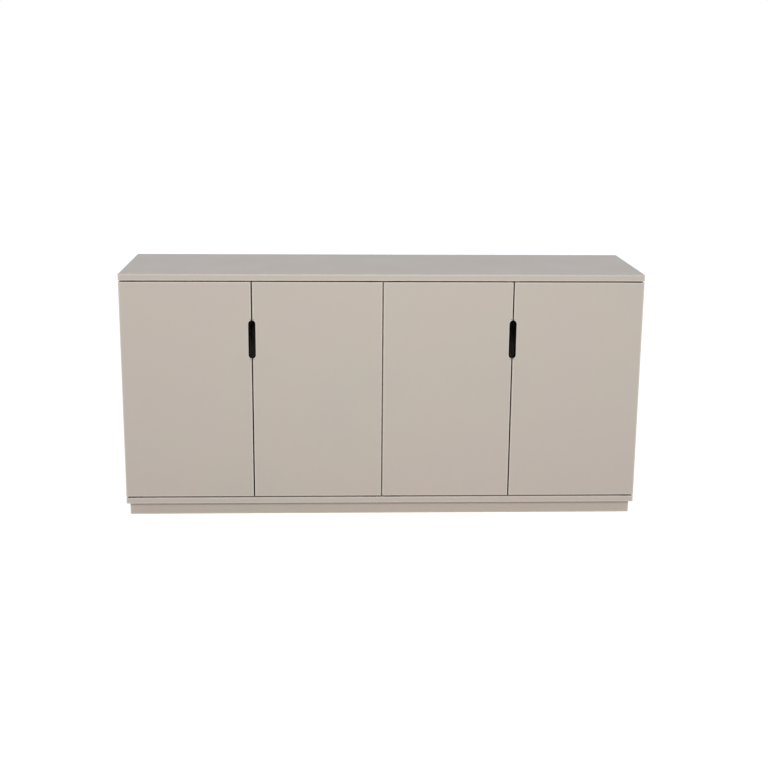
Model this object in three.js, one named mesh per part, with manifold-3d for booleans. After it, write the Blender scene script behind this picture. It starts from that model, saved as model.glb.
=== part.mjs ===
import * as THREE from 'three';
import { mergeVertices } from 'three/addons/utils/BufferGeometryUtils.js';
import Module from 'manifold-3d';

const wasm = await Module();
wasm.setup();

// Driving sizes of the credenza in millimetres. X runs left to right, the doors face -Y, Z is up.
const WIDTH = 1524;
const DEPTH = 408;
const HEIGHT = 736;
const TOP_THICK = 19;
const BOARD = 18;
const PLINTH_HEIGHT = 43;
const PLINTH_FRONT_RECESS = 30;
const PLINTH_SIDE_RECESS = 6;
const PLINTH_BACK_RECESS = 12;
const TOP_OVERHANG = 2;
const REVEAL = 4;
const DOOR_STANDOFF = 2.5;
const EDGE_EASE = 0.8;
const BACK_THICK = 8;
const BACK_INSET = 10;
const GROOVE_DEPTH = 6;
const FIT = 0.3;

// Finger slot between each pair of doors, and the black pull that lines its halves.
const SLOT_WIDTH = 21.5;
const SLOT_LENGTH = 114;
const SLOT_DROP = 169;
const PULL_WALL = 1.8;
const PULL_LIP = 4;
const PULL_LIP_THICK = 1.2;

// Shelves, their pins and the rows of pin holes.
const SHELF_SETBACK = 16;
const SHELF_PLAY = 1;
const PIN_RADIUS = 2.5;
const PIN_HEAD_RADIUS = 3.5;
const PIN_SUNK = 7.5;
const PIN_REACH = 10;
const PIN_PITCH = 32;
const PIN_INSET = 50;

// Knife hinges, let in flush: the pin stands in from the hinge edge and back from the door face.
const PIVOT_IN = 9;
const PIVOT_BACK = 5.5;
const PIVOT_PIN_RADIUS = 2;
const PIVOT_PIN_SUNK = 10;
const SLEEVE_RADIUS = 3.2;
const EYE_RADIUS = 3.6;
const LEAF_THICK = 2;
const DOOR_LEAF_THICK = 1.5;
const LEAF_WIDTH = 26;
const LEAF_START = 24;
const LEAF_LENGTH = 78;
const DOOR_LEAF_END = 60;
const FLANGE_DROP = 45;
const SCREW_HOLE_RADIUS = 2.3;
const HINGE_BEVEL = 2;

// Magnetic catches under the top and their strikes on the doors.
const CATCH_WIDTH = 48;
const CATCH_DEPTH = 15;
const CATCH_HEIGHT = 13;
const STRIKE_WIDTH = 18;
const STRIKE_HEIGHT = 12;
const STRIKE_THICK = 1.2;

// Levels and faces that follow from the driving sizes.
const halfWidth = WIDTH / 2;
const frontY = -DEPTH / 2;
const backY = DEPTH / 2;
const doorFrontY = frontY + TOP_OVERHANG;
const doorBackY = doorFrontY + BOARD;
const carcassFrontY = doorBackY + DOOR_STANDOFF;
const floorZ = PLINTH_HEIGHT + BOARD;
const ceilingZ = HEIGHT - TOP_THICK;
const doorBottomZ = floorZ + REVEAL;
const doorTopZ = ceilingZ - REVEAL;
const slotZ = doorTopZ - SLOT_DROP;
const quarterX = WIDTH / 4;
const outerDoorWidth = quarterX - REVEAL / 2;
const innerDoorWidth = quarterX - REVEAL;
const sideInnerX = halfWidth - BOARD;
const dividerFaceX = BOARD / 2;
const backFaceY = backY - BACK_INSET - BACK_THICK;
const shelfTopZ = (floorZ + ceilingZ + BOARD) / 2;
const shelfBottomZ = shelfTopZ - BOARD;
const pinZ = shelfBottomZ - FIT - PIN_HEAD_RADIUS;
const shelfFrontY = carcassFrontY + SHELF_SETBACK;
const shelfBackY = backFaceY - SHELF_PLAY;
const pinFrontY = shelfFrontY + PIN_INSET;
const pinBackY = shelfBackY - PIN_INSET;

const lacquer = new THREE.MeshStandardMaterial({ color: 0xbfb6ac, roughness: 0.5, metalness: 0 });
const blackPull = new THREE.MeshStandardMaterial({ color: 0x0b0b0b, roughness: 0.6, metalness: 0 });
const hingeSteel = new THREE.MeshStandardMaterial({ color: 0xb4b6b8, roughness: 0.35, metalness: 1 });
const pinSteel = new THREE.MeshStandardMaterial({ color: 0xc2c4c6, roughness: 0.3, metalness: 1 });
const washerNylon = new THREE.MeshStandardMaterial({ color: 0x161514, roughness: 0.55, metalness: 0 });
const catchPlastic = new THREE.MeshStandardMaterial({ color: 0x3a3836, roughness: 0.65, metalness: 0 });

function solidFrom(geometry) {
  geometry.deleteAttribute('normal');
  geometry.deleteAttribute('uv');
  const welded = mergeVertices(geometry, 1e-4);
  return new wasm.Manifold(new wasm.Mesh({
    numProp: 3,
    vertProperties: new Float32Array(welded.attributes.position.array),
    triVerts: new Uint32Array(welded.index.array),
  }));
}

function block(x0, x1, y0, y1, z0, z1) {
  const geometry = new THREE.BoxGeometry(x1 - x0, y1 - y0, z1 - z0);
  geometry.translate((x0 + x1) / 2, (y0 + y1) / 2, (z0 + z1) / 2);
  return solidFrom(geometry);
}

function rodZ(x, y, z0, z1, radius, sides = 16) {
  const geometry = new THREE.CylinderGeometry(radius, radius, z1 - z0, sides);
  geometry.rotateX(Math.PI / 2);
  geometry.translate(x, y, (z0 + z1) / 2);
  return solidFrom(geometry);
}

function rodX(x0, x1, y, z, radius, sides = 14) {
  const geometry = new THREE.CylinderGeometry(radius, radius, x1 - x0, sides);
  geometry.rotateZ(Math.PI / 2);
  geometry.translate((x0 + x1) / 2, y, z);
  return solidFrom(geometry);
}

function rodY(x, y0, y1, z, radius, sides = 12) {
  const geometry = new THREE.CylinderGeometry(radius, radius, y1 - y0, sides);
  geometry.translate(x, (y0 + y1) / 2, z);
  return solidFrom(geometry);
}

// A board seen from the front as an outline in X and Z, from y0 back to y1, with eased arrises.
function faceBoard(outline, y0, y1, ease) {
  const geometry = new THREE.ExtrudeGeometry(outline, {
    depth: y1 - y0 - 2 * ease,
    bevelEnabled: ease > 0,
    bevelThickness: ease,
    bevelSize: ease,
    bevelOffset: -ease,
    bevelSegments: 1,
    curveSegments: 10,
  });
  geometry.rotateX(Math.PI / 2);
  geometry.translate(0, y1 - ease, 0);
  return solidFrom(geometry);
}

// A flat-lying board with eased arrises.
function flatBoard(x0, x1, y0, y1, z0, z1, ease) {
  const outline = new THREE.Shape();
  outline.moveTo(x0, y0);
  outline.lineTo(x1, y0);
  outline.lineTo(x1, y1);
  outline.lineTo(x0, y1);
  outline.closePath();
  const geometry = new THREE.ExtrudeGeometry(outline, {
    depth: z1 - z0 - 2 * ease,
    bevelEnabled: true,
    bevelThickness: ease,
    bevelSize: ease,
    bevelOffset: -ease,
    bevelSegments: 1,
  });
  geometry.translate(0, 0, z0 + ease);
  return solidFrom(geometry);
}

function pill(x, z, halfWide, halfLong, y0, y1) {
  const straight = halfLong - halfWide;
  const outline = new THREE.Shape();
  outline.moveTo(x + halfWide, z - straight);
  outline.lineTo(x + halfWide, z + straight);
  outline.absarc(x, z + straight, halfWide, 0, Math.PI, false);
  outline.lineTo(x - halfWide, z - straight);
  outline.absarc(x, z - straight, halfWide, Math.PI, 2 * Math.PI, false);
  return faceBoard(outline, y0, y1, 0);
}

const credenza = new THREE.Group();
credenza.name = 'office_credenza';

// Puts a solid in place, its own x running from originX in direction turnX, its own z from originZ in turnZ.
function placed(solid, originX, turnX, originZ = 0, turnZ = 1) {
  const { vertProperties, triVerts } = solid.getMesh();
  const points = new Float32Array(vertProperties.length);
  for (let i = 0; i < points.length; i += 3) {
    points[i] = originX + turnX * vertProperties[i];
    points[i + 1] = vertProperties[i + 1];
    points[i + 2] = originZ + turnZ * vertProperties[i + 2];
  }
  const corners = new Uint32Array(triVerts);
  if (turnX * turnZ < 0) {
    for (let i = 0; i < corners.length; i += 3) {
      const swap = corners[i + 1];
      corners[i + 1] = corners[i + 2];
      corners[i + 2] = swap;
    }
  }
  return new wasm.Manifold(new wasm.Mesh({ numProp: 3, vertProperties: points, triVerts: corners }));
}

// Adds one closed piece under its own name.
function addPiece(name, solid, material) {
  const { vertProperties, triVerts } = solid.getMesh();
  const geometry = new THREE.BufferGeometry();
  geometry.setAttribute('position', new THREE.BufferAttribute(new Float32Array(vertProperties), 3));
  geometry.setIndex(Array.from(triVerts));
  geometry.computeVertexNormals();
  const piece = new THREE.Mesh(geometry, material);
  piece.name = name;
  credenza.add(piece);
}

// Groove for a back, cut along the whole face it lies in.
const grooveFrontY = backFaceY - FIT;
const grooveBackY = backFaceY + BACK_THICK + FIT;

function backGroove(x0, x1, z0, z1) {
  return block(x0, x1, grooveFrontY, grooveBackY, z0, z1);
}

// Doors from left to right: name, x of the hinge edge, direction to the free edge, width.
const doors = [
  ['far_left', -halfWidth, 1, outerDoorWidth],
  ['mid_left', -REVEAL / 2, -1, innerDoorWidth],
  ['mid_right', REVEAL / 2, 1, innerDoorWidth],
  ['far_right', halfWidth, -1, outerDoorWidth],
];

const pivotY = doorFrontY + PIVOT_BACK;
const leafBackY = doorFrontY + LEAF_LENGTH;
const eyeFrontY = pivotY - EYE_RADIUS;
const eyeBackY = pivotY + EYE_RADIUS;
const leafEnd = LEAF_START + LEAF_WIDTH;

// Outline of the carcass leaf, an arm from the eye at the pivot to the plate inside the bay, grown all round.
// Own z of the hinge pieces is 0 at the end face of the door and grows towards the panel it pivots on.
function carcassLeafOutline(z0, z1, grow) {
  return rodZ(PIVOT_IN, pivotY, z0, z1, EYE_RADIUS + grow)
    .add(block(PIVOT_IN, leafEnd + grow, eyeFrontY - grow, eyeBackY + grow, z0, z1))
    .add(block(LEAF_START - grow, leafEnd + grow, eyeFrontY - grow, leafBackY + grow, z0, z1));
}

// Pockets for the carcass leaves in the face of a panel that the door ends at endZ turn against.
function leafPockets(panel, endZ, away) {
  let pocketed = panel;
  for (const [, hingeX, turn] of doors) {
    const pocket = carcassLeafOutline(REVEAL - 1, REVEAL + LEAF_THICK + FIT, FIT);
    pocketed = pocketed.subtract(placed(pocket, hingeX, turn, endZ, away));
  }
  return pocketed;
}

// Top and bottom, each grooved over the two bays.
const grooveEndX = sideInnerX + GROOVE_DEPTH;
let top = flatBoard(-halfWidth, halfWidth, frontY, backY, ceilingZ, HEIGHT, EDGE_EASE);
top = top.subtract(backGroove(-grooveEndX, grooveEndX, ceilingZ - 1, ceilingZ + GROOVE_DEPTH));
top = leafPockets(top, doorTopZ, 1);
addPiece('top_panel', top, lacquer);

let bottom = flatBoard(-halfWidth, halfWidth, doorFrontY, backY, PLINTH_HEIGHT, floorZ, EDGE_EASE);
bottom = bottom.subtract(backGroove(-grooveEndX, grooveEndX, floorZ - GROOVE_DEPTH, floorZ + 1));
bottom = leafPockets(bottom, doorBottomZ, -1);
addPiece('bottom_panel', bottom, lacquer);

// Rows of pin holes on a face at faceX, the holes running in direction into.
function pinHoles(panel, faceX, into) {
  const far = faceX + into * (PIN_SUNK + FIT);
  const near = faceX - into;
  const x0 = Math.min(far, near);
  const x1 = Math.max(far, near);
  let drilled = panel;
  for (const y of [pinFrontY, pinBackY]) {
    for (let step = -2; step <= 2; step += 1) {
      drilled = drilled.subtract(rodX(x0, x1, y, pinZ + step * PIN_PITCH, PIN_RADIUS + FIT, 12));
    }
  }
  return drilled;
}

// Sides and the divider stand between bottom and top.
for (const [name, turn] of [['left_side_panel', -1], ['right_side_panel', 1]]) {
  let side = block(sideInnerX, halfWidth, carcassFrontY, backY, floorZ + FIT, ceilingZ - FIT);
  side = side.subtract(backGroove(sideInnerX - 1, grooveEndX, floorZ, ceilingZ));
  side = pinHoles(side, sideInnerX, 1);
  addPiece(name, placed(side, 0, turn), lacquer);
}

let divider = block(-dividerFaceX, dividerFaceX, carcassFrontY, backY, floorZ + FIT, ceilingZ - FIT);
divider = divider.subtract(backGroove(-dividerFaceX - 1, GROOVE_DEPTH - dividerFaceX, floorZ, ceilingZ));
divider = divider.subtract(backGroove(dividerFaceX - GROOVE_DEPTH, dividerFaceX + 1, floorZ, ceilingZ));
divider = pinHoles(divider, -dividerFaceX, 1);
divider = pinHoles(divider, dividerFaceX, -1);
addPiece('centre_divider', divider, lacquer);

// Backs sit in the grooves, shelves lie on four pins each.
const backTuck = GROOVE_DEPTH - FIT;
for (const [bay, turn] of [['left', -1], ['right', 1]]) {
  const back = block(
    dividerFaceX - backTuck, sideInnerX + backTuck,
    backFaceY, backFaceY + BACK_THICK,
    floorZ - backTuck, ceilingZ + backTuck,
  );
  addPiece(`${bay}_back_panel`, placed(back, 0, turn), lacquer);
  const shelf = flatBoard(
    dividerFaceX + SHELF_PLAY, sideInnerX - SHELF_PLAY,
    shelfFrontY, shelfBackY,
    shelfBottomZ, shelfTopZ, EDGE_EASE,
  );
  addPiece(`${bay}_shelf`, placed(shelf, 0, turn), lacquer);
  for (const [row, y] of [['front', pinFrontY], ['rear', pinBackY]]) {
    const outerPin = rodX(sideInnerX - PIN_REACH, sideInnerX - FIT, y, pinZ, PIN_HEAD_RADIUS)
      .add(rodX(sideInnerX - 1, sideInnerX + PIN_SUNK, y, pinZ, PIN_RADIUS));
    addPiece(`${bay}_shelf_${row}_side_pin`, placed(outerPin, 0, turn), pinSteel);
    const innerPin = rodX(dividerFaceX + FIT, dividerFaceX + PIN_REACH, y, pinZ, PIN_HEAD_RADIUS)
      .add(rodX(dividerFaceX - PIN_SUNK, dividerFaceX + 1, y, pinZ, PIN_RADIUS));
    addPiece(`${bay}_shelf_${row}_divider_pin`, placed(innerPin, 0, turn), pinSteel);
  }
}

// Plinth: front and back rails run the full length, the returns and the bearer fit between them.
const plinthHalf = halfWidth - PLINTH_SIDE_RECESS;
const plinthFrontY = doorFrontY + PLINTH_FRONT_RECESS;
const plinthBackY = backY - PLINTH_BACK_RECESS;
const plinthTopZ = PLINTH_HEIGHT - FIT;
const betweenFrontY = plinthFrontY + BOARD + FIT;
const betweenBackY = plinthBackY - BOARD - FIT;
addPiece(
  'plinth_front_rail',
  flatBoard(-plinthHalf, plinthHalf, plinthFrontY, plinthFrontY + BOARD, 0, plinthTopZ, EDGE_EASE),
  lacquer,
);
addPiece(
  'plinth_back_rail',
  flatBoard(-plinthHalf, plinthHalf, plinthBackY - BOARD, plinthBackY, 0, plinthTopZ, EDGE_EASE),
  lacquer,
);
for (const [name, turn] of [['plinth_left_return', -1], ['plinth_right_return', 1]]) {
  const plinthReturn = block(plinthHalf - BOARD, plinthHalf, betweenFrontY, betweenBackY, 0, plinthTopZ);
  addPiece(name, placed(plinthReturn, 0, turn), lacquer);
}
const bearer = block(-BOARD / 2, BOARD / 2, betweenFrontY, betweenBackY, 0, plinthTopZ);
addPiece('plinth_centre_bearer', bearer, lacquer);

// Door outline with the half slot cut into the free edge; own x starts at the hinge edge.
function doorOutline(wide) {
  const halfWide = SLOT_WIDTH / 2;
  const straight = SLOT_LENGTH / 2 - halfWide;
  const slotX = wide + REVEAL / 2;
  const mouth = Math.sqrt(halfWide * halfWide - REVEAL * REVEAL / 4);
  const mouthAngle = Math.atan2(mouth, -REVEAL / 2);
  const outline = new THREE.Shape();
  outline.moveTo(0, doorBottomZ);
  outline.lineTo(wide, doorBottomZ);
  outline.lineTo(wide, slotZ - straight - mouth);
  outline.absarc(slotX, slotZ - straight, halfWide, -mouthAngle, -Math.PI, true);
  outline.lineTo(slotX - halfWide, slotZ + straight);
  outline.absarc(slotX, slotZ + straight, halfWide, Math.PI, mouthAngle, true);
  outline.lineTo(wide, doorTopZ);
  outline.lineTo(0, doorTopZ);
  outline.closePath();
  return outline;
}

const flangeFrontY = doorBackY + FIT;
const flangeBackY = flangeFrontY + DOOR_LEAF_THICK;
const doorLeafStart = LEAF_START + 2;

function carcassLeaf() {
  const over = REVEAL + LEAF_THICK;
  const leafMidX = LEAF_START + LEAF_WIDTH / 2;
  let leaf = carcassLeafOutline(REVEAL, over, 0)
    .add(rodZ(PIVOT_IN, pivotY, -PIVOT_PIN_SUNK, over, PIVOT_PIN_RADIUS));
  for (const y of [carcassFrontY + 20, leafBackY - 12]) {
    leaf = leaf.subtract(rodZ(leafMidX, y, REVEAL - 1, over + 1, SCREW_HOLE_RADIUS, 12));
  }
  return leaf;
}

// Washer on the pin, between the two leaves.
function pivotWasher() {
  return rodZ(PIVOT_IN, pivotY, FIT, REVEAL - FIT, EYE_RADIUS)
    .subtract(rodZ(PIVOT_IN, pivotY, -1, REVEAL + 1, PIVOT_PIN_RADIUS + FIT));
}

function doorLeaf() {
  let leaf = rodZ(PIVOT_IN, pivotY, -DOOR_LEAF_THICK, 0, EYE_RADIUS)
    .add(block(PIVOT_IN, DOOR_LEAF_END, eyeFrontY, eyeBackY, -DOOR_LEAF_THICK, 0))
    .add(block(doorLeafStart, DOOR_LEAF_END, eyeFrontY, flangeBackY, -DOOR_LEAF_THICK, 0))
    .add(block(doorLeafStart, DOOR_LEAF_END, flangeFrontY, flangeBackY, -FLANGE_DROP, 0))
    .add(rodZ(PIVOT_IN, pivotY, -PIVOT_PIN_SUNK, 0, SLEEVE_RADIUS))
    .subtract(rodZ(PIVOT_IN, pivotY, -PIVOT_PIN_SUNK - 1, 1, PIVOT_PIN_RADIUS + FIT));
  for (const [x, z] of [[doorLeafStart + 9, -FLANGE_DROP + 10], [DOOR_LEAF_END - 9, -FLANGE_DROP + 26]]) {
    leaf = leaf.subtract(rodY(x, flangeFrontY - 1, flangeBackY + 1, z, SCREW_HOLE_RADIUS, 12));
  }
  return leaf;
}

// Recess for the door leaf and its sleeve in one end of a door, endZ, opening in direction away.
function leafRecess(endZ, away) {
  const deep = endZ - away * (DOOR_LEAF_THICK + FIT);
  const clear = endZ + away;
  const low = Math.min(deep, clear);
  const high = Math.max(deep, clear);
  const bored = endZ - away * (PIVOT_PIN_SUNK + FIT);
  return rodZ(PIVOT_IN, pivotY, low, high, EYE_RADIUS + FIT)
    .add(block(PIVOT_IN, DOOR_LEAF_END + FIT, eyeFrontY - FIT, eyeBackY + FIT, low, high))
    .add(block(doorLeafStart - FIT, DOOR_LEAF_END + FIT, eyeFrontY - FIT, doorBackY + 1, low, high))
    .add(rodZ(PIVOT_IN, pivotY, Math.min(bored, clear), Math.max(bored, clear), SLEEVE_RADIUS + FIT));
}

// Bevel along the back of the hinge edge, so that the door turns clear of the carcass.
function hingeBevel() {
  const outline = new THREE.Shape();
  outline.moveTo(-1, doorBackY - HINGE_BEVEL - 1);
  outline.lineTo(HINGE_BEVEL + 1, doorBackY + 1);
  outline.lineTo(-1, doorBackY + 1);
  outline.closePath();
  const geometry = new THREE.ExtrudeGeometry(outline, {
    depth: doorTopZ - doorBottomZ + 2,
    bevelEnabled: false,
  });
  geometry.translate(0, 0, doorBottomZ - 1);
  return solidFrom(geometry);
}

// Half of the slot lining, with a lip round its back for the fingers.
function fingerPull(wide) {
  const slotX = wide + REVEAL / 2;
  const halfWide = SLOT_WIDTH / 2 - FIT;
  const halfLong = SLOT_LENGTH / 2 - FIT;
  const lipFrontY = doorBackY + FIT;
  const lipBackY = lipFrontY + PULL_LIP_THICK;
  const edgeX = wide - EDGE_EASE / 2;
  const reach = SLOT_LENGTH;
  return pill(slotX, slotZ, halfWide, halfLong, doorFrontY + FIT, lipBackY)
    .add(pill(slotX, slotZ, halfWide + PULL_LIP, halfLong + PULL_LIP, lipFrontY, lipBackY))
    .subtract(pill(slotX, slotZ, halfWide - PULL_WALL, halfLong - PULL_WALL, doorFrontY - 1, lipBackY + 1))
    .intersect(block(wide - reach, edgeX, doorFrontY - 1, lipBackY + 1, slotZ - reach, slotZ + reach));
}

const catchFrontY = doorBackY + FIT + STRIKE_THICK + FIT;
for (const [place, hingeX, turn, wide] of doors) {
  const panel = faceBoard(doorOutline(wide), doorFrontY, doorBackY, EDGE_EASE)
    .subtract(hingeBevel())
    .subtract(leafRecess(doorTopZ, 1))
    .subtract(leafRecess(doorBottomZ, -1));
  addPiece(`${place}_door`, placed(panel, hingeX, turn), lacquer);
  addPiece(`${place}_finger_pull`, placed(fingerPull(wide), hingeX, turn), blackPull);
  const strikeEnd = wide - 5;
  const strike = block(
    strikeEnd - STRIKE_WIDTH, strikeEnd,
    doorBackY + FIT, doorBackY + FIT + STRIKE_THICK,
    doorTopZ - 2 - STRIKE_HEIGHT, doorTopZ - 2,
  );
  addPiece(`${place}_strike`, placed(strike, hingeX, turn), hingeSteel);
  for (const [level, endZ, away] of [['upper', doorTopZ, 1], ['lower', doorBottomZ, -1]]) {
    const hinge = `${place}_${level}`;
    addPiece(`${hinge}_carcass_leaf`, placed(carcassLeaf(), hingeX, turn, endZ, away), hingeSteel);
    addPiece(`${hinge}_door_leaf`, placed(doorLeaf(), hingeX, turn, endZ, away), hingeSteel);
    addPiece(`${hinge}_pivot_washer`, placed(pivotWasher(), hingeX, turn, endZ, away), washerNylon);
  }
}

// One double catch behind the meeting edges of each pair of doors.
for (const [name, turn] of [['left_magnetic_catch', -1], ['right_magnetic_catch', 1]]) {
  const body = block(
    quarterX - CATCH_WIDTH / 2, quarterX + CATCH_WIDTH / 2,
    catchFrontY, catchFrontY + CATCH_DEPTH,
    ceilingZ - FIT - CATCH_HEIGHT, ceilingZ - FIT,
  );
  addPiece(name, placed(body, 0, turn), catchPlastic);
}

export default credenza;
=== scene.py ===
import math

import bpy
from mathutils import Matrix, Vector


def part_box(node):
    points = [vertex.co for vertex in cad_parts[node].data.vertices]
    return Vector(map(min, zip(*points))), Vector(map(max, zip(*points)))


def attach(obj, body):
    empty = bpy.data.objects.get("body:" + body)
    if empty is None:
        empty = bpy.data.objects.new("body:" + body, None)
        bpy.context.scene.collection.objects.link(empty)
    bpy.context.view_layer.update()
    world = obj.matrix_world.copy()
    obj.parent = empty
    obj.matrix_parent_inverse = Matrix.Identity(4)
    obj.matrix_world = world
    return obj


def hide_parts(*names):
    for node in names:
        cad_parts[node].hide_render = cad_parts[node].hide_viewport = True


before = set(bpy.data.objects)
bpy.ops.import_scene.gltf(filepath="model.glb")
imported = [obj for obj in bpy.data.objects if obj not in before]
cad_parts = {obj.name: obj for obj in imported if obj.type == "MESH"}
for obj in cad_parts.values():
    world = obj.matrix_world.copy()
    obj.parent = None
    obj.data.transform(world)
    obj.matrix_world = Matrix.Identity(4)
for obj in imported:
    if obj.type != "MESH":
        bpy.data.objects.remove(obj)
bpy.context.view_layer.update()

MM = 0.001
DOORS = {"far_left": 1, "mid_left": -1, "mid_right": 1, "far_right": -1}
LEVELS = {"upper": 1, "lower": -1}
SIDES = {"left": -1, "right": 1}

# Board edges: radius of the sanded arris, and width of the band beside it that carries a painted highlight.
ARRIS = 0.8 * MM
ARRIS_STEPS = 4
EDGE_HIGHLIGHT_BAND = 4 * MM
THIN_HIGHLIGHT_BAND = 1.5 * MM
SMOOTH_BELOW = math.radians(35)

# Joinery of the carcass.
REVEAL = 4 * MM
FIT = 0.3 * MM
GROOVE_DEEP = 6 * MM
PIN_HOLE = 2.8 * MM
PIN_HOLE_DEEP = 7.8 * MM
PIN_PITCH = 32 * MM
PIN_STEPS = (-2, -1, 0, 1, 2)

# Finger slot and the black pull that lines it.
SLOT_HALF_WIDE = 10.75 * MM
SLOT_HALF_LONG = 57 * MM
PILL_SIDES = 64
PULL_WALL = 1.8 * MM
PULL_LIP = 4 * MM
PULL_LIP_THICK = 1.2 * MM
PULL_EASE = 0.35 * MM

# Knife hinge: own x runs from the hinge edge, own z from the end of the door towards the panel.
PIVOT_IN = 9 * MM
PIVOT_BACK = 5.5 * MM
PIVOT_PIN = 2 * MM
PIVOT_SUNK = 10 * MM
EYE = 3.6 * MM
SLEEVE = 3.2 * MM
LEAF_THICK = 2 * MM
LEAF_START = 24 * MM
LEAF_WIDE = 26 * MM
LEAF_LONG = 78 * MM
LEAF_SCREWS = (40.5 * MM, 66 * MM)
LEAF_EASE = 0.25 * MM
DOOR_LEAF_THICK = 1.5 * MM
DOOR_LEAF_START = 26 * MM
DOOR_LEAF_END = 60 * MM
DOOR_LEAF_EASE = 0.15 * MM
FLANGE_DROP = 45 * MM
FLANGE_SCREWS = ((35 * MM, -35 * MM), (51 * MM, -19 * MM))
HINGE_BEVEL = 2 * MM
HAIR = 0.01 * MM
MERGE_WITHIN = 0.001 * MM

# Countersunk screws, and the holes that they sit in.
SCREW_HEAD = 3.4 * MM
SCREW_NECK = 1.9 * MM
SCREW_SHANK = 1.71 * MM
SCREW_CONE = 1.4 * MM
SCREW_START = 0.2 * MM
SCREW_END = 8.8 * MM
SCREW_EASE = 0.12 * MM
CROSS_LONG = 1.9 * MM
CROSS_WIDE = 0.45 * MM
CROSS_DEEP = 0.9 * MM
HOLE_WIDE = 2.09 * MM
HOLE_LONG = 8 * MM
SINK_NARROW = 1.995 * MM
SINK_WIDE = 3.74 * MM
SINK_DEEP = 1.6 * MM

# Shelf pins, magnetic catches and their strikes.
PIN_SHANK = 2.5 * MM
PIN_EASE = 0.6 * MM
CATCH_EASE = 0.9 * MM
CATCH_WINDOW = 15 * MM
CATCH_WINDOW_HIGH = 8 * MM
CATCH_WINDOW_DEEP = 2 * MM
CATCH_SCREW_IN = 4.5 * MM
CATCH_SCREW_BACK = 3 * MM
POLE_THICK = 1.6 * MM
POLE_SUNK = 0.2 * MM
POLE_EASE = 0.2 * MM
STRIKE_CORNER = 2 * MM
STRIKE_EASE = 0.25 * MM

# Studio: one wide, low softbox in front, pale light all round, and a white floor.
KEY_PLACE = (0.15, -4.5, 2.2)
KEY_AIM = (0, 0, 0.4)
KEY_SIZE = (3.4, 0.7)
KEY_POWER = 104
KEY_COLOUR = (1.0, 0.975, 0.90)
AMBIENT = 0.50
AMBIENT_COLOUR = (0.89, 0.93, 1.0, 1)
FLOOR_WIDE = 24
FLOOR_DROP = 0.2 * MM
FLOOR_COLOUR = (0.82, 0.82, 0.82, 1)
FLOOR_GLOW = 0.66
WHITE = (1, 1, 1, 1)

# Camera as worked out from the corners of the cabinet: place in metres, turns in radians.
CAMERA_PLACE = (-0.14486, -3.96809, 1.33063)
CAMERA_YAW = -0.03966
CAMERA_PITCH = 0.23949
CAMERA_ROLL = 0.00821
CAMERA_LENS = 61.738
CAMERA_SENSOR = 36

door_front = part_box("far_left_door")[0].y
door_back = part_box("far_left_door")[1].y
pivot_y = door_front + PIVOT_BACK


# Modelling steps that the pieces share.

def select_only(piece):
    bpy.ops.object.select_all(action="DESELECT")
    piece.select_set(True)
    bpy.context.view_layer.objects.active = piece


def settle(name):
    """Names the primitive just added and puts its place into its mesh."""
    piece = bpy.context.object
    piece.name = name
    piece.data.name = name
    bpy.ops.object.transform_apply(location=True, rotation=True, scale=True)
    return piece


def block(name, low, high):
    bpy.ops.object.select_all(action="DESELECT")
    low = Vector(low)
    high = Vector(high)
    bpy.ops.mesh.primitive_cube_add(size=1, location=(low + high) / 2, scale=high - low)
    return settle(name)


def rod(name, centre, radius, length, axis, sides=48, tip=None):
    """A round bar along an axis; tip is the radius of its far end where it tapers."""
    turn = {"X": (0, math.pi / 2, 0), "Y": (-math.pi / 2, 0, 0), "Z": (0, 0, 0)}[axis]
    bpy.ops.object.select_all(action="DESELECT")
    bpy.ops.mesh.primitive_cone_add(
        vertices=sides, radius1=radius, radius2=radius if tip is None else tip,
        depth=length, location=centre, rotation=turn,
    )
    return settle(name)


def apply(piece, modifier):
    select_only(piece)
    bpy.ops.object.modifier_apply(modifier=modifier.name)


def discard(piece):
    mesh = piece.data
    bpy.data.objects.remove(piece)
    bpy.data.meshes.remove(mesh)


def carve(piece, tool, operation="DIFFERENCE"):
    """Cuts a tool piece out of a piece, or joins it on, and clears the tool away."""
    boolean = piece.modifiers.new("carve", "BOOLEAN")
    boolean.operation = operation
    boolean.solver = "EXACT"
    boolean.object = tool
    apply(piece, boolean)
    discard(tool)


def ease(piece, radius, steps=ARRIS_STEPS, sharper_than=50):
    bevel = piece.modifiers.new("ease", "BEVEL")
    bevel.width = radius
    bevel.segments = steps
    bevel.limit_method = "ANGLE"
    bevel.angle_limit = math.radians(sharper_than)
    apply(piece, bevel)


def pick_faces(piece, test):
    """Opens a piece for editing with only the faces selected whose middle and normal pass the test."""
    select_only(piece)
    bpy.ops.object.mode_set(mode="EDIT")
    bpy.ops.mesh.select_mode(type="FACE")
    bpy.ops.mesh.select_all(action="DESELECT")
    bpy.ops.object.mode_set(mode="OBJECT")
    for face in piece.data.polygons:
        face.select = test(face)
    bpy.ops.object.mode_set(mode="EDIT")


def pick_edges(piece, test):
    """Opens a piece for editing with only the edges selected whose two ends pass the test."""
    select_only(piece)
    bpy.ops.object.mode_set(mode="EDIT")
    bpy.ops.mesh.select_mode(type="EDGE")
    bpy.ops.mesh.select_all(action="DESELECT")
    bpy.ops.object.mode_set(mode="OBJECT")
    points = piece.data.vertices
    for edge in piece.data.edges:
        edge.select = test(*(points[index].co for index in edge.vertices))
    bpy.ops.object.mode_set(mode="EDIT")


def done_editing():
    bpy.ops.object.mode_set(mode="OBJECT")


def score(piece, point, normal, keep_inner=False):
    """Cuts a line of edges round a piece where a plane crosses it, or cuts away what lies past the plane."""
    select_only(piece)
    bpy.ops.object.mode_set(mode="EDIT")
    bpy.ops.mesh.select_all(action="SELECT")
    bpy.ops.mesh.bisect(plane_co=point, plane_no=normal, use_fill=keep_inner, clear_outer=keep_inner)
    done_editing()


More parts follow.
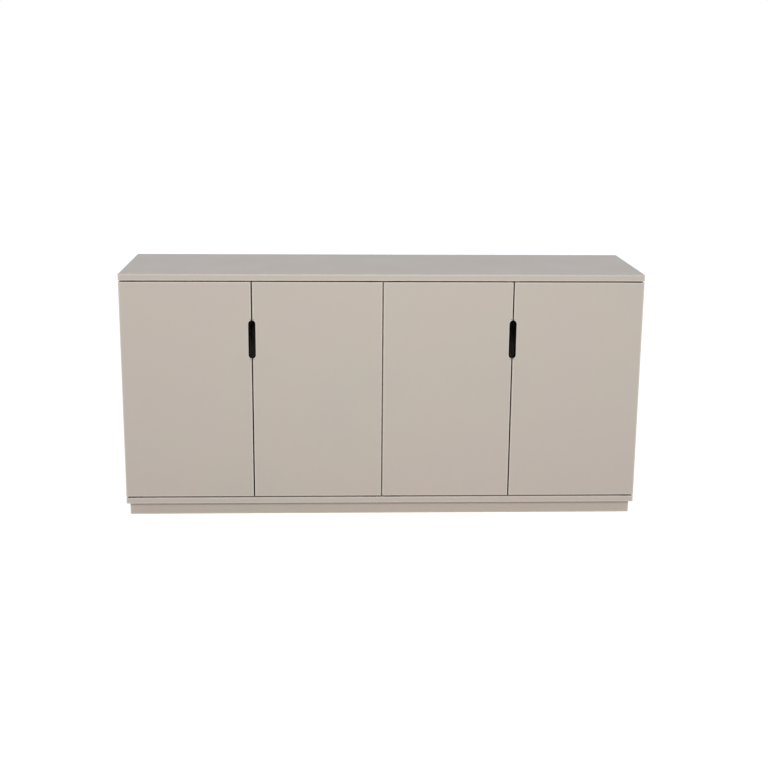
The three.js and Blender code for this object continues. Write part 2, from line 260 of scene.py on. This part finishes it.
def draw_out(piece, test, step):
    """Extrudes the faces that pass the test."""
    pick_faces(piece, test)
    bpy.ops.mesh.extrude_region_move(TRANSFORM_OT_translate={"value": step})
    done_editing()


def round_edges(piece, test, radius, steps):
    pick_edges(piece, test)
    bpy.ops.mesh.bevel(offset=radius, segments=steps, affect="EDGES")
    done_editing()


def paint_edge_highlight(piece, width):
    """Insets every flat face, and marks the arrises outside the insets for a painted highlight."""
    least = (4 * width) ** 2
    pick_faces(piece, lambda face: max(abs(part) for part in face.normal) > 0.9999 and face.area > least)
    bpy.ops.mesh.inset(thickness=width, use_individual=True, use_even_offset=True)
    done_editing()
    inner = set()
    for face in piece.data.polygons:
        if face.select:
            inner.update(face.vertices)
    # Value 1 on the arris vertices, where the lacquer is painted paler as a highlight.
    painted_highlight = piece.data.attributes.new("painted_highlight", "FLOAT", "POINT")
    for vertex in piece.data.vertices:
        painted_highlight.data[vertex.index].value = 0.0 if vertex.index in inner else 1.0


def smooth(piece):
    select_only(piece)
    bpy.ops.object.shade_smooth_by_angle(angle=SMOOTH_BELOW)


def tidy_mesh(piece):
    """Merges doubles and turns every face outwards."""
    select_only(piece)
    bpy.ops.object.mode_set(mode="EDIT")
    bpy.ops.mesh.select_all(action="SELECT")
    bpy.ops.mesh.remove_doubles(threshold=MERGE_WITHIN)
    bpy.ops.mesh.normals_make_consistent(inside=False)
    done_editing()


def copy_of(model, name):
    piece = model.copy()
    piece.data = model.data.copy()
    piece.name = name
    piece.data.name = name
    bpy.context.scene.collection.objects.link(piece)
    return piece


def handed_copy(model, name, origin, turn):
    """A copy set at an origin, mirrored along each axis whose turn is -1."""
    piece = copy_of(model, name)
    piece.location = origin
    piece.scale = turn
    select_only(piece)
    bpy.ops.object.transform_apply(location=True, rotation=True, scale=True)
    tidy_mesh(piece)
    return piece


def fit_out(piece, finish, body, slot, *nodes):
    piece.data.materials.clear()
    piece.data.materials.append(finish)
    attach(piece, body)
    if nodes:
        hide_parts(*nodes)
    return piece


# Finishes.

def new_finish(name):
    finish = bpy.data.materials.new(name)
    finish.use_nodes = True
    tree = finish.node_tree
    place = tree.nodes.new("ShaderNodeTexCoord")
    return finish, tree, place.outputs["Object"], tree.nodes["Principled BSDF"]


def noise(tree, place, scale, detail=2.0):
    node = tree.nodes.new("ShaderNodeTexNoise")
    node.inputs["Scale"].default_value = scale
    node.inputs["Detail"].default_value = detail
    tree.links.new(place, node.inputs["Vector"])
    return node.outputs[0]


def stretched(tree, place, scale):
    node = tree.nodes.new("ShaderNodeMapping")
    node.inputs["Scale"].default_value = scale
    tree.links.new(place, node.inputs["Vector"])
    return node.outputs["Vector"]


def spread(tree, value, low, high):
    """Turns a noise value into a number between low and high."""
    node = tree.nodes.new("ShaderNodeMapRange")
    node.inputs["From Min"].default_value = 0.3
    node.inputs["From Max"].default_value = 0.7
    node.inputs["To Min"].default_value = low
    node.inputs["To Max"].default_value = high
    tree.links.new(value, node.inputs["Value"])
    return node.outputs["Result"]


def tint(tree, factor, first, second):
    """Mixes two colours, each a colour or a socket."""
    node = tree.nodes.new("ShaderNodeMix")
    node.data_type = "RGBA"
    for socket, colour in ((node.inputs[6], first), (node.inputs[7], second)):
        if isinstance(colour, tuple):
            socket.default_value = (*colour, 1)
        else:
            tree.links.new(colour, socket)
    if isinstance(factor, float):
        node.inputs[0].default_value = factor
    else:
        tree.links.new(factor, node.inputs[0])
    return node.outputs[2]


def times(tree, first, second):
    node = tree.nodes.new("ShaderNodeMath")
    node.operation = "MULTIPLY"
    for socket, value in zip(node.inputs, (first, second)):
        if isinstance(value, float):
            socket.default_value = value
        else:
            tree.links.new(value, socket)
    return node.outputs[0]


def bump(tree, height, depth, strength, under=None):
    node = tree.nodes.new("ShaderNodeBump")
    node.inputs["Distance"].default_value = depth
    node.inputs["Strength"].default_value = strength
    tree.links.new(height, node.inputs["Height"])
    if under is not None:
        tree.links.new(under, node.inputs["Normal"])
    return node.outputs["Normal"]


def satin_lacquer():
    """Sprayed greige lacquer: cloudy in tone, fine orange peel, with a patchy painted highlight along the
    arrises.
    """
    finish, tree, place, surface = new_finish("satin_greige_lacquer")
    cloud = spread(tree, noise(tree, place, 3.2, 1.5), 0.0, 1.0)
    coat = tint(tree, cloud, (0.520, 0.470, 0.413), (0.542, 0.466, 0.418))
    mottle = spread(tree, noise(tree, place, 34, 3.0), 0.0, 1.0)
    coat = tint(tree, mottle, coat, tint(tree, 0.03, coat, (0.40, 0.37, 0.33)))
    # Painted highlight: the arrises are mixed towards a paler colour in a patchy band, standing in for light
    # caught on the edges.
    highlight_mask = tree.nodes.new("ShaderNodeAttribute")
    highlight_mask.attribute_name = "painted_highlight"
    patchy_highlight = spread(tree, noise(tree, place, 60, 2.0), 0.45, 0.80)
    coat = tint(tree, times(tree, highlight_mask.outputs["Fac"], patchy_highlight), coat, (0.70, 0.64, 0.575))
    tree.links.new(coat, surface.inputs["Base Color"])
    tree.links.new(spread(tree, noise(tree, place, 7, 3.0), 0.39, 0.44), surface.inputs["Roughness"])
    peel = noise(tree, place, 620, 1.0)
    drift = noise(tree, place, 95, 1.0)
    normal = bump(tree, peel, 0.03 * MM, 0.5)
    normal = bump(tree, drift, 0.05 * MM, 0.4, normal)
    tree.links.new(normal, surface.inputs["Normal"])
    return finish


def moulded_black():
    """Matt black moulding with a fine spark grain, rubbed a little shinier in places."""
    finish, tree, place, surface = new_finish("moulded_black")
    tone = spread(tree, noise(tree, place, 140, 3.0), 0.0, 1.0)
    tree.links.new(tint(tree, tone, (0.004, 0.004, 0.004), (0.008, 0.0078, 0.0076)),
                   surface.inputs["Base Color"])
    tree.links.new(spread(tree, noise(tree, place, 55, 2.0), 0.55, 0.72), surface.inputs["Roughness"])
    surface.inputs["Specular IOR Level"].default_value = 0.1
    tree.links.new(bump(tree, noise(tree, place, 2600, 2.0), 0.03 * MM, 0.6), surface.inputs["Normal"])
    return finish


def washer_nylon():
    finish, tree, place, surface = new_finish("washer_nylon")
    tone = spread(tree, noise(tree, place, 700, 2.0), 0.0, 1.0)
    tree.links.new(tint(tree, tone, (0.012, 0.011, 0.010), (0.022, 0.021, 0.020)),
                   surface.inputs["Base Color"])
    tree.links.new(spread(tree, noise(tree, place, 900, 2.0), 0.42, 0.6), surface.inputs["Roughness"])
    return finish


def catch_plastic():
    """Dark brown-grey moulding with a fine grain."""
    finish, tree, place, surface = new_finish("catch_plastic")
    tone = spread(tree, noise(tree, place, 180, 3.0), 0.0, 1.0)
    tree.links.new(tint(tree, tone, (0.036, 0.033, 0.030), (0.050, 0.046, 0.042)),
                   surface.inputs["Base Color"])
    tree.links.new(spread(tree, noise(tree, place, 120, 2.0), 0.45, 0.62), surface.inputs["Roughness"])
    tree.links.new(bump(tree, noise(tree, place, 2200, 2.0), 0.03 * MM, 0.5), surface.inputs["Normal"])
    return finish


def plated_steel(name, dull, bright, grain, rough):
    """Plated steel with rolling marks along grain and a patchy passivated tone."""
    finish, tree, place, surface = new_finish(name)
    patches = spread(tree, noise(tree, place, 130, 3.0), 0.0, 1.0)
    tree.links.new(tint(tree, patches, dull, bright), surface.inputs["Base Color"])
    surface.inputs["Metallic"].default_value = 1.0
    marks = noise(tree, stretched(tree, place, grain), 1.0, 3.0)
    tree.links.new(spread(tree, marks, rough - 0.07, rough + 0.09), surface.inputs["Roughness"])
    tree.links.new(bump(tree, marks, 0.02 * MM, 0.35), surface.inputs["Normal"])
    return finish


lacquer = satin_lacquer()
black = moulded_black()
nylon = washer_nylon()
brown_black = catch_plastic()
zinc = plated_steel("zinc_plated_steel", (0.50, 0.50, 0.49), (0.64, 0.65, 0.66), (90, 1500, 1500), 0.34)
nickel = plated_steel("nickel_plated_steel", (0.56, 0.54, 0.50), (0.70, 0.68, 0.64), (1500, 900, 900), 0.26)


# Carcass boards.

def board(name, band=EDGE_HIGHLIGHT_BAND):
    """An eased board in the place of its solid, with its band of painted edge highlight."""
    low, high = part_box(name)
    piece = block(name + "_lacquered", low, high)
    ease(piece, ARRIS)
    paint_edge_highlight(piece, band)
    return piece


def finish_board(piece, name):
    tidy_mesh(piece)
    smooth(piece)
    fit_out(piece, lacquer, "carcass", "lacquer", name)


def span(first, second):
    """Two opposite corners as lowest and highest."""
    low = Vector([min(pair) for pair in zip(first, second)])
    high = Vector([max(pair) for pair in zip(first, second)])
    return low, high


def let_in(piece, origin, turn, away, depths, plate, back_y):
    """Sinks the shape of a hinge leaf, eye, arm and plate, into the face of a board.

    Depths are the floor and the open side in the leaf's own z, plate its ends in own x.
    Each cutter goes a hair deeper than the one before, so that no two cut faces share a plane.
    """
    grown = EYE + FIT
    eye_x = origin.x + turn * PIVOT_IN
    start_x, end_x = (origin.x + turn * end for end in plate)
    floor_z, open_z = (origin.z + away * depth for depth in depths)
    hair = math.copysign(HAIR, floor_z - open_z)
    middle_x = (start_x + end_x) / 2
    front_y = pivot_y - grown
    arm = span((eye_x, front_y, floor_z), (middle_x, pivot_y + grown, open_z))
    carve(piece, block("arm", *arm))
    flat = span((start_x, front_y - HAIR, floor_z + hair), (end_x, back_y, open_z))
    carve(piece, block("plate", *flat))
    eye_z = floor_z + 2 * hair
    middle = (eye_x, pivot_y, (eye_z + open_z) / 2)
    carve(piece, rod("eye", middle, grown, abs(eye_z - open_z), "Z"))


def hinge_edge(place):
    low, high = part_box(place + "_door")
    return low.x if DOORS[place] > 0 else high.x


def back_groove_span():
    low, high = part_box("left_back_panel")
    return low.y - FIT, high.y + FIT


def capped_panel(name, level):
    """Top or bottom: grooved for the backs and pocketed for the hinge leaves."""
    away = LEVELS[level]
    piece = board(name)
    low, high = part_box(name)
    face_z = low.z if away > 0 else high.z
    y0, y1 = back_groove_span()
    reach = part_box("right_side_panel")[0].x + GROOVE_DEEP
    groove = span((-reach, y0, face_z - away * MM), (reach, y1, face_z + away * GROOVE_DEEP))
    carve(piece, block("groove", *groove))
    for place, turn in DOORS.items():
        origin = Vector((hinge_edge(place), 0, face_z - away * REVEAL))
        depths = (REVEAL + LEAF_THICK + FIT, REVEAL - MM)
        plate = (LEAF_START - FIT, LEAF_START + LEAF_WIDE + FIT)
        let_in(piece, origin, turn, away, depths, plate, door_front + LEAF_LONG + FIT)
    finish_board(piece, name)


def drill_pin_rows(piece, face_x, into):
    centre_x = face_x + into * (PIN_HOLE_DEEP - MM) / 2
    for row in ("front", "rear"):
        low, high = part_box(f"left_shelf_{row}_side_pin")
        pin = (low + high) / 2
        for step in PIN_STEPS:
            centre = (centre_x, pin.y, pin.z + step * PIN_PITCH)
            carve(piece, rod("pin_hole", centre, PIN_HOLE, PIN_HOLE_DEEP + MM, "X", 24))


def groove_upright(piece, face_x, into):
    low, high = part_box("centre_divider")
    y0, y1 = back_groove_span()
    groove = span((face_x - into * MM, y0, low.z - MM), (face_x + into * GROOVE_DEEP, y1, high.z + MM))
    carve(piece, block("groove", *groove))


def uprights():
    for side, turn in SIDES.items():
        name = side + "_side_panel"
        piece = board(name)
        low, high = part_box(name)
        inner_x = low.x if turn > 0 else high.x
        groove_upright(piece, inner_x, turn)
        drill_pin_rows(piece, inner_x, turn)
        finish_board(piece, name)
    piece = board("centre_divider")
    low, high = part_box("centre_divider")
    for face_x, into in ((low.x, 1), (high.x, -1)):
        groove_upright(piece, face_x, into)
        drill_pin_rows(piece, face_x, into)
    finish_board(piece, "centre_divider")


def plain_boards():
    """Backs, shelves and the plinth, which have no joinery of their own."""
    for side in SIDES:
        shelf = f"{side}_shelf"
        finish_board(board(shelf), shelf)
        back = f"{side}_back_panel"
        finish_board(board(back, THIN_HIGHLIGHT_BAND), back)
        side_return = f"plinth_{side}_return"
        finish_board(board(side_return), side_return)
    for name in ("plinth_front_rail", "plinth_back_rail", "plinth_centre_bearer"):
        finish_board(board(name), name)


# Doors.

def pill(name, x, z, half_wide, half_long, y0, y1):
    """A round bar along Y whose upper half is drawn up into a long slot shape."""
    straight = half_long - half_wide
    piece = rod(name, (x, (y0 + y1) / 2, z - straight), half_wide, y1 - y0, "Y", PILL_SIDES)
    upper = z - straight + HAIR
    pick_edges(piece, lambda first, second: min(first.z, second.z) > upper)
    bpy.ops.transform.translate(value=(0, 0, 2 * straight))
    done_editing()
    return piece


def slot_centre(place):
    low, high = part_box(place + "_door")
    pull_low, pull_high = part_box(place + "_finger_pull")
    free_x = high.x if DOORS[place] > 0 else low.x
    return free_x + DOORS[place] * REVEAL / 2, (pull_low.z + pull_high.z) / 2


def recess_door_end(piece, place, level):
    """Recess for the door leaf and a bore for its sleeve in one end of a door."""
    away = LEVELS[level]
    low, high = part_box(place + "_door")
    origin = Vector((hinge_edge(place), 0, high.z if away > 0 else low.z))
    depths = (-DOOR_LEAF_THICK - FIT, MM)
    plate = (DOOR_LEAF_START - FIT, DOOR_LEAF_END + FIT)
    let_in(piece, origin, DOORS[place], away, depths, plate, door_back + MM)
    deep = PIVOT_SUNK + FIT + MM
    bore = origin + Vector((DOORS[place] * PIVOT_IN, pivot_y, away * (MM - deep / 2)))
    carve(piece, rod("bore", bore, SLEEVE + FIT, deep, "Z"))


def door(place):
    name = place + "_door"
    low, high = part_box(name)
    piece = block(name + "_lacquered", low, high)
    ease(piece, ARRIS)
    slot_x, slot_z = slot_centre(place)
    carve(piece, pill("slot", slot_x, slot_z, SLOT_HALF_WIDE, SLOT_HALF_LONG, low.y - MM, high.y + MM))
    paint_edge_highlight(piece, EDGE_HIGHLIGHT_BAND)
    for level in LEVELS:
        recess_door_end(piece, place, level)
    stand_off = 2 * HINGE_BEVEL
    corner = (hinge_edge(place) - DOORS[place] * stand_off, high.y + stand_off, (low.z + high.z) / 2)
    carve(piece, rod("bevel", corner, HINGE_BEVEL + 2 * stand_off, high.z - low.z + 2 * MM, "Z", 4))
    tidy_mesh(piece)
    smooth(piece)
    fit_out(piece, lacquer, name + "_body", "lacquer", name)


def finger_pull(place):
    """Half of the slot lining, with a lip behind the door for the fingers."""
    name = place + "_finger_pull"
    low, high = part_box(name)
    slot_x, slot_z = slot_centre(place)
    wide = SLOT_HALF_WIDE - FIT
    long = SLOT_HALF_LONG - FIT
    piece = pill(name + "_moulded", slot_x, slot_z, wide, long, low.y, high.y)
    lip = pill("lip", slot_x, slot_z, wide + PULL_LIP, long + PULL_LIP, high.y - PULL_LIP_THICK, high.y)
    carve(piece, lip, "UNION")
    mouth = pill("mouth", slot_x, slot_z, wide - PULL_WALL, long - PULL_WALL, low.y - MM, high.y + MM)
    carve(piece, mouth)
    ease(piece, PULL_EASE, 3)
    edge_x = high.x if DOORS[place] > 0 else low.x
    score(piece, (edge_x, 0, 0), (DOORS[place], 0, 0), keep_inner=True)
    tidy_mesh(piece)
    smooth(piece)
    fit_out(piece, black, place + "_door_body", "pull", name)


# Hinges, screws and other fittings.

def screw_model():
    """A countersunk screw with a cross recess, its head's face at z 0 and its shank towards +z."""
    screw = rod("screw", (0, 0, SCREW_CONE / 2), SCREW_HEAD, SCREW_CONE, "Z", 40, SCREW_NECK)
    middle = (0, 0, (SCREW_START + SCREW_END) / 2)
    carve(screw, rod("shank", middle, SCREW_SHANK, SCREW_END - SCREW_START, "Z", 40), "UNION")
    for half_x, half_y in ((CROSS_LONG, CROSS_WIDE), (CROSS_WIDE, CROSS_LONG)):
        carve(screw, block("cross", (-half_x, -half_y, -MM), (half_x, half_y, CROSS_DEEP)))
    ease(screw, SCREW_EASE, 2, 60)
    tidy_mesh(screw)
    smooth(screw)
    return screw


def drive_screw(model, name, head, turn, body):
    """A copy of the screw with its head's face at a point, turned about X from a shank towards +z."""
    screw = copy_of(model, name)
    screw.location = head
    screw.rotation_euler = (turn, 0, 0)
    select_only(screw)
    bpy.ops.object.transform_apply(location=True, rotation=True, scale=True)
    fit_out(screw, nickel, body, "pin_steel")


def countersink(piece, centre, facing, axis):
    """Cuts a screw's cone and clearance hole into a plate; facing is the side that the head shows on."""
    centre = Vector(centre)
    carve(piece, rod("hole", centre, HOLE_WIDE, HOLE_LONG, axis, 32))
    inwards = Vector((0, 0, -facing)) if axis == "Z" else Vector((0, -facing, 0))
    start, end = (SINK_NARROW, SINK_WIDE) if facing > 0 else (SINK_WIDE, SINK_NARROW)
    carve(piece, rod("cone", centre + inwards * SCREW_CONE / 2, start, SINK_DEEP, axis, 40, end))


def draw_arm(leaf, plate_x):
    """Draws the arm out of the front of a leaf's plate and rounds its end into the eye."""
    score(leaf, (0, pivot_y + EYE, 0), (0, 1, 0))
    draw_out(leaf, lambda face: face.center.x < plate_x + HAIR and face.center.y < pivot_y + EYE,
             (PIVOT_IN - EYE - plate_x, 0, 0))
    end_x = PIVOT_IN - EYE + HAIR
    round_edges(leaf, lambda first, second: max(first.x, second.x) < end_x and abs(first.z - second.z) > MM,
                EYE - HAIR, 12)


def carcass_leaf_model():
    """Plate, arm, eye and pin of the half that is let into the top or bottom."""
    over = REVEAL + LEAF_THICK
    leaf = block("carcass_leaf", (LEAF_START, pivot_y - EYE, REVEAL),
                 (LEAF_START + LEAF_WIDE, door_front + LEAF_LONG, over))
    draw_arm(leaf, LEAF_START)
    pin_top = over - LEAF_THICK / 2
    pin_long = pin_top + PIVOT_SUNK
    carve(leaf, rod("pin", (PIVOT_IN, pivot_y, pin_top - pin_long / 2), PIVOT_PIN, pin_long, "Z"), "UNION")
    ease(leaf, LEAF_EASE, 2, 60)
    for back in LEAF_SCREWS:
        countersink(leaf, (LEAF_START + LEAF_WIDE / 2, door_front + back, REVEAL), -1, "Z")
    tidy_mesh(leaf)
    smooth(leaf)
    return leaf


def door_leaf_model():
    """Arm in the end of the door, flange on its back, and the sleeve that turns on the pin."""
    flange_y = door_back + FIT
    leaf = block(
        "door_leaf", (DOOR_LEAF_START, pivot_y - EYE, -DOOR_LEAF_THICK),
        (DOOR_LEAF_END, flange_y + DOOR_LEAF_THICK, 0),
    )
    draw_arm(leaf, DOOR_LEAF_START)
    score(leaf, (0, flange_y, 0), (0, 1, 0))
    draw_out(leaf, lambda face: face.center.y > flange_y and face.normal.z < -0.9,
             (0, 0, DOOR_LEAF_THICK - FLANGE_DROP))
    sleeve_top = -DOOR_LEAF_THICK / 2
    sleeve_long = sleeve_top + PIVOT_SUNK
    sleeve = rod("sleeve", (PIVOT_IN, pivot_y, sleeve_top - sleeve_long / 2), SLEEVE, sleeve_long, "Z")
    carve(leaf, sleeve, "UNION")
    carve(leaf, rod("bore", (PIVOT_IN, pivot_y, 0), PIVOT_PIN + FIT, 4 * PIVOT_SUNK, "Z"))
    ease(leaf, DOOR_LEAF_EASE, 2, 60)
    for x, z in FLANGE_SCREWS:
        countersink(leaf, (x, flange_y + DOOR_LEAF_THICK, z), 1, "Y")
    tidy_mesh(leaf)
    smooth(leaf)
    return leaf


def hinge(place, level, carcass_leaf, door_leaf, screw):
    """Both leaves of one hinge with their screws, and the look of the washer between them."""
    name = f"{place}_{level}"
    body = place + "_door_body"
    turn = DOORS[place]
    away = LEVELS[level]
    low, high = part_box(place + "_door")
    origin = Vector((hinge_edge(place), 0, high.z if away > 0 else low.z))
    hand = (turn, 1, away)
    fixed = handed_copy(carcass_leaf, name + "_carcass_leaf_plated", origin, hand)
    fit_out(fixed, zinc, "carcass", "hinge_steel", name + "_carcass_leaf")
    swung = handed_copy(door_leaf, name + "_door_leaf_plated", origin, hand)
    fit_out(swung, zinc, body, "hinge_steel", name + "_door_leaf")
    plate_x = turn * (LEAF_START + LEAF_WIDE / 2)
    for number, back in enumerate(LEAF_SCREWS, 1):
        head = origin + Vector((plate_x, door_front + back, away * REVEAL))
        upright = 0 if away > 0 else math.pi
        drive_screw(screw, f"{name}_carcass_leaf_screw_{number}", head, upright, "carcass")
    face_y = door_back + FIT + DOOR_LEAF_THICK
    for number, (x, z) in enumerate(FLANGE_SCREWS, 1):
        head = origin + Vector((turn * x, face_y, away * z))
        drive_screw(screw, f"{name}_door_leaf_screw_{number}", head, math.pi / 2, body)
    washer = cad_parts[name + "_pivot_washer"]
    washer.data.materials.clear()
    washer.data.materials.append(nylon)


def hang_doors(screw):
    carcass_leaf = carcass_leaf_model()
    door_leaf = door_leaf_model()
    for place in DOORS:
        for level in LEVELS:
            hinge(place, level, carcass_leaf, door_leaf, screw)
    discard(carcass_leaf)
    discard(door_leaf)


def shelf_pin_model():
    """Lathe-turned pin along +x from the face of its panel: shank in the hole, collar and head outside."""
    low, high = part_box("right_shelf_front_divider_pin")
    face_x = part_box("centre_divider")[1].x
    reach = high.x - face_x
    sunk = face_x - low.x
    radius = (high.z - low.z) / 2
    pin = rod("shelf_pin", ((FIT + reach) / 2, 0, 0), radius, reach - FIT, "X", 40)
    shank = rod("shank", ((FIT - sunk + MM) / 2, 0, 0), PIN_SHANK, sunk + MM, "X", 40)
    carve(pin, shank, "UNION")
    ease(pin, PIN_EASE, 3, 60)
    tidy_mesh(pin)
    smooth(pin)
    return pin


def shelf_pins():
    model = shelf_pin_model()
    for side, turn in SIDES.items():
        for row in ("front", "rear"):
            for panel in ("side", "divider"):
                name = f"{side}_shelf_{row}_{panel}_pin"
                low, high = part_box(name)
                outwards = turn if panel == "divider" else -turn
                upright = "centre_divider" if panel == "divider" else side + "_side_panel"
                panel_low, panel_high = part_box(upright)
                face_x = panel_high.x if outwards > 0 else panel_low.x
                place = (face_x, (low.y + high.y) / 2, (low.z + high.z) / 2)
                pin = handed_copy(model, name + "_turned", place, (outwards, 1, 1))
                fit_out(pin, nickel, "carcass", "pin_steel", name)
    discard(model)


def pole_plate(name, x, z, front_y):
    """One of the two steel plates that stand in a window of a catch."""
    half = Vector((CATCH_WINDOW / 2 - FIT, 0, POLE_THICK / 2))
    near = Vector((x, front_y + POLE_SUNK, z)) - half
    far = Vector((x, front_y + CATCH_WINDOW_DEEP, z)) + half
    plate = block(name, near, far)
    ease(plate, POLE_EASE, 2)
    smooth(plate)
    fit_out(plate, zinc, "carcass", "hinge_steel")


def magnetic_catch(side, screw):
    """Moulded body with a window for each door, two pole plates in each, and screws up into the top."""
    name = side + "_magnetic_catch"
    low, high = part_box(name)
    middle = (low + high) / 2
    body = block(name + "_moulded", low, high)
    ease(body, CATCH_EASE, 3)
    quarter_wide = (high.x - low.x) / 4
    windows = (middle.x - quarter_wide, middle.x + quarter_wide)
    half = Vector((CATCH_WINDOW / 2, 0, CATCH_WINDOW_HIGH / 2))
    for x in windows:
        near = Vector((x, low.y - MM, middle.z)) - half
        far = Vector((x, low.y + CATCH_WINDOW_DEEP, middle.z)) + half
        carve(body, block("window", near, far))
    tidy_mesh(body)
    smooth(body)
    fit_out(body, brown_black, "carcass", "catch", name)
    rise = CATCH_WINDOW_HIGH / 2 - POLE_THICK
    poles = [(x, z) for x in windows for z in (middle.z - rise, middle.z + rise)]
    for number, (x, z) in enumerate(poles, 1):
        pole_plate(f"{name}_pole_{number}", x, z, low.y)
    for number, x in enumerate((low.x + CATCH_SCREW_IN, high.x - CATCH_SCREW_IN), 1):
        head = (x, middle.y + CATCH_SCREW_BACK, low.z)
        drive_screw(screw, f"{name}_screw_{number}", head, 0, "carcass")


def strike(place, screw):
    name = place + "_strike"
    body = place + "_door_body"
    low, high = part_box(name)
    plate = block(name + "_plated", low, high)
    thick = high.y - low.y
    round_edges(plate, lambda first, second: abs(first.y - second.y) > thick / 2, STRIKE_CORNER, 5)
    ease(plate, STRIKE_EASE, 2)
    head = Vector(((low.x + high.x) / 2, high.y, (low.z + high.z) / 2))
    countersink(plate, head, 1, "Y")
    tidy_mesh(plate)
    smooth(plate)
    fit_out(plate, zinc, body, "hinge_steel", name)
    drive_screw(screw, name + "_screw", head, math.pi / 2, body)


# Floor, light and camera.

def seen_rays(tree):
    """1 for the rays that show the surround: from the camera, mirrored, or through glass."""
    path = tree.nodes.new("ShaderNodeLightPath")
    seen = path.outputs["Is Camera Ray"]
    for kind in ("Is Glossy Ray", "Is Transmission Ray"):
        either = tree.nodes.new("ShaderNodeMath")
        either.operation = "MAXIMUM"
        tree.links.new(seen, either.inputs[0])
        tree.links.new(path.outputs[kind], either.inputs[1])
        seen = either.outputs[0]
    return seen


def studio_floor():
    bpy.ops.object.select_all(action="DESELECT")
    bpy.ops.mesh.primitive_plane_add(size=FLOOR_WIDE, location=(0, 0, -FLOOR_DROP))
    floor = settle("studio_floor")
    finish = bpy.data.materials.new("studio_white")
    finish.use_nodes = True
    tree = finish.node_tree
    surface = tree.nodes["Principled BSDF"]
    surface.inputs["Base Color"].default_value = FLOOR_COLOUR
    surface.inputs["Roughness"].default_value = 0.9
    surface.inputs["Specular IOR Level"].default_value = 0.0
    surface.inputs["Emission Color"].default_value = WHITE
    tree.links.new(times(tree, seen_rays(tree), FLOOR_GLOW), surface.inputs["Emission Strength"])
    floor.data.materials.append(finish)


def white_surround():
    world = bpy.data.worlds.new("studio_surround")
    bpy.context.scene.world = world
    world.use_nodes = True
    tree = world.node_tree
    tree.nodes.clear()
    output = tree.nodes.new("ShaderNodeOutputWorld")
    mix = tree.nodes.new("ShaderNodeMixShader")
    ambient = tree.nodes.new("ShaderNodeBackground")
    ambient.inputs["Color"].default_value = AMBIENT_COLOUR
    ambient.inputs["Strength"].default_value = AMBIENT
    shown = tree.nodes.new("ShaderNodeBackground")
    shown.inputs["Color"].default_value = WHITE
    shown.inputs["Strength"].default_value = 1.0
    tree.links.new(seen_rays(tree), mix.inputs[0])
    tree.links.new(ambient.outputs[0], mix.inputs[1])
    tree.links.new(shown.outputs[0], mix.inputs[2])
    tree.links.new(mix.outputs[0], output.inputs[0])


def front_softbox():
    lamp = bpy.data.lights.new("front_key", "AREA")
    lamp.shape = "RECTANGLE"
    lamp.size, lamp.size_y = KEY_SIZE
    lamp.energy = KEY_POWER
    lamp.color = KEY_COLOUR
    stand = bpy.data.objects.new("front_key", lamp)
    bpy.context.scene.collection.objects.link(stand)
    stand.location = KEY_PLACE
    stand.rotation_euler = (Vector(KEY_AIM) - stand.location).to_track_quat("-Z", "Y").to_euler()


def photo_camera():
    ahead = Vector((
        -math.sin(CAMERA_YAW) * math.cos(CAMERA_PITCH),
        math.cos(CAMERA_YAW) * math.cos(CAMERA_PITCH),
        -math.sin(CAMERA_PITCH),
    ))
    level = Vector((math.cos(CAMERA_YAW), math.sin(CAMERA_YAW), 0))
    upright = level.cross(ahead)
    right = math.cos(CAMERA_ROLL) * level + math.sin(CAMERA_ROLL) * upright
    up = math.cos(CAMERA_ROLL) * upright - math.sin(CAMERA_ROLL) * level
    lens = bpy.data.cameras.new("photo_camera")
    lens.sensor_width = CAMERA_SENSOR
    lens.lens = CAMERA_LENS
    camera = bpy.data.objects.new("photo_camera", lens)
    bpy.context.scene.collection.objects.link(camera)
    turn = Matrix((right, up, -ahead)).transposed()
    camera.matrix_world = Matrix.Translation(CAMERA_PLACE) @ turn.to_4x4()
    bpy.context.scene.camera = camera


capped_panel("top_panel", "upper")
capped_panel("bottom_panel", "lower")
uprights()
plain_boards()
for door_place in DOORS:
    door(door_place)
    finger_pull(door_place)
fixing_screw = screw_model()
hang_doors(fixing_screw)
shelf_pins()
for catch_side in SIDES:
    magnetic_catch(catch_side, fixing_screw)
for door_place in DOORS:
    strike(door_place, fixing_screw)
discard(fixing_screw)

studio_floor()
white_surround()
front_softbox()
photo_camera()
bpy.context.scene.view_settings.view_transform = "Standard"
